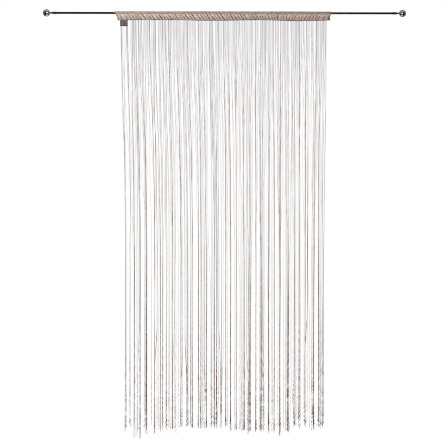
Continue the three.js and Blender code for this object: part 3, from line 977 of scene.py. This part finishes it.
def dyed_yarn(name):
    """Space-dyed polyester yarn: matt, its colour changing every 40 to 120 mm. Each string's yarn_tone
    says which part of the dye it took, and its yarn_fade how far it is bleached, which it is outside
    the strong locks. All are washed out towards the heading, and deepest in colour at the foot."""
    material, tree = new_material(name)
    place = add_node(tree, "ShaderNodeTexCoord").outputs["Object"]
    parts = add_node(tree, "ShaderNodeSeparateXYZ", links={"Vector": place})
    tone = add_node(tree, "ShaderNodeAttribute", {"attribute_name": "yarn_tone"}).outputs["Fac"]
    fade = add_node(tree, "ShaderNodeAttribute", {"attribute_name": "yarn_fade"}).outputs["Fac"]
    height = add_node(  # 0 at the foot, 1 at the rod
        tree, "ShaderNodeMapRange", links={"Value": parts.outputs["Z"]},
        values={"From Min": -2.0, "From Max": 0.0},
    )

    # The dye, in full strength.
    along = add_node(
        tree, "ShaderNodeMath", {"operation": "MULTIPLY"},
        links={0: parts.outputs["Z"]}, values={1: 1 / DYE_LENGTH},
    )
    dye_place = add_node(tree, "ShaderNodeCombineXYZ", links={"X": tone, "Z": along.outputs["Value"]})
    dye = add_node(
        tree, "ShaderNodeTexNoise", links={"Vector": dye_place.outputs["Vector"]},
        values={"Scale": 1.0, "Detail": 1.0, "Roughness": 0.5},
    )
    dyed = add_node(
        tree, "ShaderNodeValToRGB", links={"Fac": dye.outputs["Fac"]},
        stops=[
            (0.24, "#b0aca4"), (0.33, "#8f7c7b"), (0.40, "#704935"), (0.45, "#b1a599"), (0.50, "#706d4a"),
            (0.55, "#a47152"), (0.60, "#94868b"), (0.66, "#654230"), (0.73, "#b8b6b6"), (0.8, "#8f6a4a"),
        ],
    )

    # What is left of it: a taupe where it is washed out, and greys on the bleached strings.
    washed = add_node(
        tree, "ShaderNodeValToRGB", links={"Fac": height.outputs["Result"]},
        stops=[(0.0, "#000000"), (0.3, "#303030"), (0.5, "#606060"), (0.75, "#949494"), (1.0, "#c8c8c8")],
    )
    faded = add_node(
        tree, "ShaderNodeMath", {"operation": "MAXIMUM"}, links={0: washed.outputs["Color"], 1: fade},
    )
    dye_parts = add_node(tree, "ShaderNodeSeparateColor", links={"Color": dye.outputs["Color"]})
    greys = add_node(
        tree, "ShaderNodeValToRGB", links={"Fac": dye_parts.outputs["Green"]},
        stops=[(0.34, "#82928b"), (0.5, "#83879b"), (0.66, "#968389")],
    )
    bleach = add_node(
        tree, "ShaderNodeMapRange", links={"Value": fade}, values={"From Min": 0.1, "From Max": 0.6},
    )
    bleached = add_node(
        tree, "ShaderNodeMix", {"data_type": "RGBA"},
        links={0: bleach.outputs["Result"], 7: greys.outputs["Color"]}, values={6: linear("#8b7a7b")},
    )
    worn = add_node(
        tree, "ShaderNodeMix", {"data_type": "RGBA"},
        links={0: faded.outputs["Value"], 6: dyed.outputs["Color"], 7: bleached.outputs[2]},
    )

    # Stronger colour towards the foot, and shade between the crowded strings below the heading.
    strength = add_node(
        tree, "ShaderNodeMapRange", links={"Value": height.outputs["Result"]},
        values={"From Min": 0.1, "From Max": 0.5, "To Min": 2.3, "To Max": 1.35},
    )
    soaked = add_node(
        tree, "ShaderNodeHueSaturation",
        links={"Color": worn.outputs[2], "Saturation": strength.outputs["Result"]},
    )
    shade = add_node(
        tree, "ShaderNodeValToRGB", links={"Fac": height.outputs["Result"]},
        stops=[
            (0.02, "#dfd1d8"), (0.12, "#f8edf8"), (0.26, "#fff9f8"), (0.42, "#fcfffc"), (0.65, "#f3f6fc"),
            (0.85, "#e6eafd"), (0.96, "#bcbbd3"), (1.0, "#a3a2b4"),
        ],
    )
    shaded = add_node(
        tree, "ShaderNodeMix", {"data_type": "RGBA", "blend_type": "MULTIPLY"},
        links={6: soaked.outputs["Color"], 7: shade.outputs["Color"]}, values={0: 1.0},
    )

    # Dark spots in the opened yarn, most of them on the crimped foot.
    fine_along = add_node(
        tree, "ShaderNodeMath", {"operation": "MULTIPLY"},
        links={0: parts.outputs["Z"]}, values={1: 1 / SPOT_LENGTH},
    )
    spot_place = add_node(tree, "ShaderNodeCombineXYZ", links={"X": tone, "Z": fine_along.outputs["Value"]})
    spots = add_node(
        tree, "ShaderNodeTexNoise", links={"Vector": spot_place.outputs["Vector"]},
        values={"Scale": 1.0, "Detail": 1.0},
    )
    speckle = add_node(
        tree, "ShaderNodeValToRGB", links={"Fac": spots.outputs["Fac"]},
        stops=[(0.40, "#3f3029"), (0.48, "#aea5a0"), (0.55, "#ffffff")],
    )
    opened = add_node(
        tree, "ShaderNodeMapRange", links={"Value": parts.outputs["Z"]},
        values={"From Min": -1.5, "From Max": -0.8, "To Min": 1.0, "To Max": 0.25},
    )
    colour = add_node(
        tree, "ShaderNodeMix", {"data_type": "RGBA", "blend_type": "MULTIPLY"},
        links={0: opened.outputs["Result"], 6: shaded.outputs[2], 7: speckle.outputs["Color"]},
    )

    # The two plies wind round each other.
    uv = add_node(tree, "ShaderNodeUVMap", {"uv_map": "UVMap"})
    around = add_node(tree, "ShaderNodeSeparateXYZ", links={"Vector": uv.outputs["UV"]})
    rise = add_node(
        tree, "ShaderNodeMath", {"operation": "MULTIPLY"},
        links={0: parts.outputs["Z"]}, values={1: 1 / PLY_LENGTH},
    )
    turn = add_node(
        tree, "ShaderNodeMath", {"operation": "ADD"},
        links={0: rise.outputs["Value"], 1: around.outputs["X"]},
    )
    ply = add_node(
        tree, "ShaderNodeMath", {"operation": "PINGPONG"}, links={0: turn.outputs["Value"]}, values={1: 0.5},
    )
    bump = add_node(
        tree, "ShaderNodeBump", links={"Height": ply.outputs["Value"]},
        values={"Strength": 0.3, "Distance": 0.3 * MM},
    )
    shader = add_node(
        tree, "ShaderNodeBsdfPrincipled",
        links={"Base Color": colour.outputs[2], "Normal": bump.outputs["Normal"]},
        values={"Roughness": 0.8, "Specular IOR Level": 0.25, "Sheen Weight": 0.08, "Sheen Roughness": 0.4},
    )
    add_node(tree, "ShaderNodeOutputMaterial", links={"Surface": shader.outputs["BSDF"]})
    return material


yarn_material = dyed_yarn("space_dyed_polyester_yarn")
yarn_sides = 4 + 2 * YARN_ROUNDNESS
cap_faces = 2 * (yarn_sides - 2)
for first in range(0, len(locks), LOCKS_PER_PIECE):
    yarns = [
        draw_yarn(lock, place) for lock in locks[first:first + LOCKS_PER_PIECE]
        for place in range(YARNS_PER_LOCK)
    ]
    lines = [[yarn_point(yarn, depth) for depth in yarn_depths(yarn["end"])] for yarn in yarns]
    swells = [
        [yarn_swell(-z, yarn["home"]["number"]) for x, y, z in line] for yarn, line in zip(yarns, lines)
    ]
    name = f"strings_{first // LOCKS_PER_PIECE + 1}"
    piece = thread(name, lines, YARN_RADIUS, YARN_ROUNDNESS, swells)
    for kind in ("yarn_tone", "yarn_fade"):  # the mesh has all the end caps first, then the sides
        values = []
        for yarn in yarns:
            values += [yarn[kind]] * cap_faces
        for yarn, line in zip(yarns, lines):
            values += [yarn[kind]] * (yarn_sides * (len(line) - 1))
        attribute = piece.data.attributes.new(kind, "FLOAT", "FACE")
        attribute.data.foreach_set("value", values)
    edit(piece)
    finish_mesh(piece, sharp_above=70)
    dress(piece, yarn_material, "strings", "strings")


# Label. A short length of grey woven tape, folded in half and caught in the seam at the left end,
# so that it hangs in front of the first strings. It is plain.

label_low, label_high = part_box("label")
LABEL_CLOTH = 0.45 * MM
LABEL_WIDTH = label_high.x - label_low.x - 1.6 * MM
LABEL_COLUMNS = 36
LABEL_ROWS = 64
LABEL_CAUGHT = 5 * MM  # how much of its cut ends is caught between the walls
LABEL_SHIFT = Vector((-2.4 * MM, 0, -2.0 * MM))  # it hangs a little askew in the seam
LABEL_WAVES = (0.25 * MM, 0.35 * MM)  # forward and down, at its fold
TWILL_RIB = 1.208 * MM
TWILL_SLANT = 40  # degrees
TAPE_CLOUD = 8.33 * MM  # of one shade of grey

deselect_all()
bpy.ops.mesh.primitive_grid_add(x_subdivisions=LABEL_COLUMNS, y_subdivisions=LABEL_ROWS, size=1)
label = bpy.context.active_object
label.name = "label_tape"
label_middle = (label_low.y + label_high.y) / 2
bend_radius = (label_high.y - label_low.y) / 2
drop = label_high.z - label_low.z - bend_radius
tape_length = 2 * drop + math.pi * bend_radius
for vert in label.data.vertices:
    across = vert.co.x + 0.5
    run = (vert.co.y + 0.5) * tape_length
    x = label_low.x + across * LABEL_WIDTH
    if run < drop:
        y, z = label_low.y, label_high.z - run
    elif run > tape_length - drop:
        y, z = label_high.y, label_high.z - (tape_length - run)
    else:
        turn = (run - drop) / bend_radius
        y = label_middle - bend_radius * math.cos(turn)
        z = label_high.z - drop - bend_radius * math.sin(turn)
    lower = (label_high.z - z) / (label_high.z - label_low.z)
    y += LABEL_WAVES[0] * lower * math.sin(across * 5.1 + 0.6)
    z += LABEL_WAVES[1] * lower * math.sin(across * 3.0 + 1.0) + LABEL_CAUGHT * smooth(1 - 3 * lower)
    vert.co = Vector((x, y, z)) + LABEL_SHIFT
make_cloth(label, LABEL_CLOTH, 0)


def woven_tape(name):
    """Grey polyester satin tape: a close twill with a slight gloss along it, darker along its left
    edge, and with painted shade at its fold."""
    material, tree = new_material(name)
    place = add_node(tree, "ShaderNodeTexCoord").outputs["Object"]
    twill_place = add_node(
        tree, "ShaderNodeMapping", links={"Vector": place},
        values={"Rotation": (0, math.radians(TWILL_SLANT), 0)},
    )
    twill = add_node(
        tree, "ShaderNodeTexWave", {"wave_type": "BANDS", "bands_direction": "X"},
        links={"Vector": twill_place.outputs["Vector"]},
        values={"Scale": BAND_SPACING / TWILL_RIB, "Distortion": 0.6, "Detail": 2.0},
    )
    cloud = add_node(
        tree, "ShaderNodeTexNoise", links={"Vector": place},
        values={"Scale": 1 / TAPE_CLOUD, "Detail": 4.0},
    )
    base = add_node(
        tree, "ShaderNodeValToRGB", links={"Fac": cloud.outputs["Fac"]},
        stops=[(0.32, "#433b3c"), (0.52, "#5c5353"), (0.7, "#746a6a")],
    )
    uv = add_node(tree, "ShaderNodeUVMap", {"uv_map": "UVMap"})
    on_tape = add_node(tree, "ShaderNodeSeparateXYZ", links={"Vector": uv.outputs["UV"]})
    edges = add_node(
        tree, "ShaderNodeValToRGB", links={"Fac": on_tape.outputs["X"]},
        stops=[(0.0, "#554a4b"), (0.08, "#685d5e"), (0.14, "#ffffff"), (0.88, "#ffffff"), (0.93, "#fff0f0")],
    )
    # Painted shade at the fold where the tape turns under; the front leg is also a little darker than the
    # back.
    fold = add_node(
        tree, "ShaderNodeValToRGB", links={"Fac": on_tape.outputs["Y"]},
        stops=[
            (0.0, "#e2e2e2"), (0.3, "#e8e8e8"), (0.35, "#ffffff"), (0.39, "#ffffff"), (0.42, "#a39596"),
            (0.5, "#8a7c7d"), (0.57, "#a39596"), (0.6, "#ffffff"),
        ],
    )
    colour = base.outputs["Color"]
    for layer in (edges, fold):
        darker = add_node(
            tree, "ShaderNodeMix", {"data_type": "RGBA", "blend_type": "MULTIPLY"},
            links={6: colour, 7: layer.outputs["Color"]}, values={0: 1.0},
        )
        colour = darker.outputs[2]
    bump = add_node(
        tree, "ShaderNodeBump", links={"Height": twill.outputs["Fac"]},
        values={"Strength": 0.4, "Distance": 0.2 * MM},
    )
    shader = add_node(
        tree, "ShaderNodeBsdfPrincipled",
        links={"Base Color": colour, "Normal": bump.outputs["Normal"]},
        values={"Roughness": 0.55, "Sheen Weight": 0.1},
    )
    add_node(tree, "ShaderNodeOutputMaterial", links={"Surface": shader.outputs["BSDF"]})
    return material


dress(label, woven_tape("grey_satin_tape"), "label", "label")


# Studio. A plain white floor and surroundings, soft lights in front of the curtain, from its left
# and from low down, and a dark room behind the camera that the nickel mirrors.

FLOOR_DEPTH = 2350 * MM
FLOOR_RADIUS = 1350 * MM
FLOOR_SIDES = 96
PAPER_GRAIN = 10 / 3 * MM  # much coarser than the real one, which is too fine to show
# In metres and watts. A softbox that isn't mirrored is kept out of the nickel.
SOFTBOXES = [
    {
        "name": "front_softbox", "place": (0.05, -2.2, -0.25), "aim": (0, 0, -0.7),
        "width": 1.1, "height": 0.9, "power": 24, "mirrored": True,
    },
    {
        "name": "side_softbox", "place": (-1.6, -1.6, 0.9), "aim": (0, 0, -0.6),
        "width": 1.0, "height": 1.0, "power": 35, "mirrored": False,
    },
    {
        "name": "low_softbox", "place": (-0.3, -2.4, -1.9), "aim": (0, 0, -1.7),
        "width": 1.3, "height": 1.0, "power": 26, "mirrored": False,
    },
]

deselect_all()
bpy.ops.mesh.primitive_circle_add(
    vertices=FLOOR_SIDES, radius=FLOOR_RADIUS, fill_type="NGON", location=(0, 0, -FLOOR_DEPTH),
)
floor = bpy.context.active_object
floor.name = "floor"
edit(floor)
finish_mesh(floor)
paper, tree = new_material("white_studio_paper")
grain_place = add_node(tree, "ShaderNodeTexCoord").outputs["Object"]
grain = add_node(
    tree, "ShaderNodeTexNoise", links={"Vector": grain_place}, values={"Scale": 1 / PAPER_GRAIN},
)
white = add_node(
    tree, "ShaderNodeValToRGB", links={"Fac": grain.outputs["Fac"]},
    stops=[(0.3, "#f4f4f4"), (0.7, "#fafafa")],
)
paper_shader = add_node(
    tree, "ShaderNodeBsdfPrincipled", links={"Base Color": white.outputs["Color"]},
    values={"Roughness": 0.9, "Emission Color": (1, 1, 1, 1), "Emission Strength": 0.25},
)
add_node(tree, "ShaderNodeOutputMaterial", links={"Surface": paper_shader.outputs["BSDF"]})
floor.data.materials.append(paper)

# The surroundings: white to the eye, a light on cloth and yarn that is brightest from behind them,
# and for the nickel to mirror a dark room with pale walls and ceiling and a pale background.
world = bpy.data.worlds.new("studio")
bpy.context.scene.world = world
world.use_nodes = True
tree = world.node_tree
tree.nodes.clear()
direction = add_node(tree, "ShaderNodeTexCoord").outputs["Generated"]
toward = add_node(tree, "ShaderNodeSeparateXYZ", links={"Vector": direction})
front_to_back = add_node(
    tree, "ShaderNodeMapRange", links={"Value": toward.outputs["Y"]},
    values={"From Min": -1.0, "From Max": 1.0},
)
lit = add_node(
    tree, "ShaderNodeValToRGB", links={"Fac": front_to_back.outputs["Result"]},
    stops=[(0.0, "#8c8c8c"), (0.5, "#a8a8ac"), (1.0, "#f0f0f0")],
)
sideways = add_node(
    tree, "ShaderNodeMath", {"operation": "ABSOLUTE"}, links={0: toward.outputs["X"]},
)
# The walls, the ceiling and the background: along which axis each lies, and the direction's shares
# along it at which it starts and is at its palest.
pale_places = [
    (sideways.outputs["Value"], 0.8, 1.0),
    (toward.outputs["Z"], 0.25, 0.8),
    (toward.outputs["Y"], -0.2, 0.5),
]
pale_part = None
for share, start, full in pale_places:
    wall = add_node(
        tree, "ShaderNodeMapRange", {"interpolation_type": "SMOOTHSTEP"}, links={"Value": share},
        values={"From Min": start, "From Max": full},
    )
    if pale_part:
        wall = add_node(
            tree, "ShaderNodeMath", {"operation": "MAXIMUM"}, links={0: pale_part, 1: wall.outputs["Result"]},
        )
    pale_part = wall.outputs[0]
low_to_high = add_node(
    tree, "ShaderNodeMapRange", links={"Value": toward.outputs["Z"]},
    values={"From Min": -1.0, "From Max": 1.0},
)
pale = add_node(
    tree, "ShaderNodeValToRGB", links={"Fac": low_to_high.outputs["Result"]},
    stops=[(0.0, "#6a6a6a"), (0.5, "#a2a2a2"), (1.0, "#c4c4c4")],
)
mirrored = add_node(
    tree, "ShaderNodeMix", {"data_type": "RGBA"},
    links={0: pale_part, 7: pale.outputs["Color"]}, values={6: linear("#262626")},
)
paths = add_node(tree, "ShaderNodeLightPath")
surround = add_node(
    tree, "ShaderNodeMix", {"data_type": "RGBA"},
    links={0: paths.outputs["Is Glossy Ray"], 6: lit.outputs["Color"], 7: mirrored.outputs[2]},
)
seen = add_node(
    tree, "ShaderNodeMix", {"data_type": "RGBA"},
    links={0: paths.outputs["Is Camera Ray"], 6: surround.outputs[2]}, values={7: (1, 1, 1, 1)},
)
background = add_node(
    tree, "ShaderNodeBackground", links={"Color": seen.outputs[2]}, values={"Strength": 1.0},
)
add_node(tree, "ShaderNodeOutputWorld", links={"Surface": background.outputs["Background"]})

for softbox in SOFTBOXES:
    light_data = bpy.data.lights.new(softbox["name"], "AREA")
    light_data.shape = "RECTANGLE"
    light_data.size = softbox["width"]
    light_data.size_y = softbox["height"]
    light_data.energy = softbox["power"]
    light = bpy.data.objects.new(softbox["name"], light_data)
    light.location = softbox["place"]
    facing = Vector(softbox["aim"]) - Vector(softbox["place"])
    light.rotation_euler = facing.to_track_quat("-Z", "Y").to_euler()
    light.visible_camera = False
    light.visible_glossy = softbox["mirrored"]
    bpy.context.scene.collection.objects.link(light)
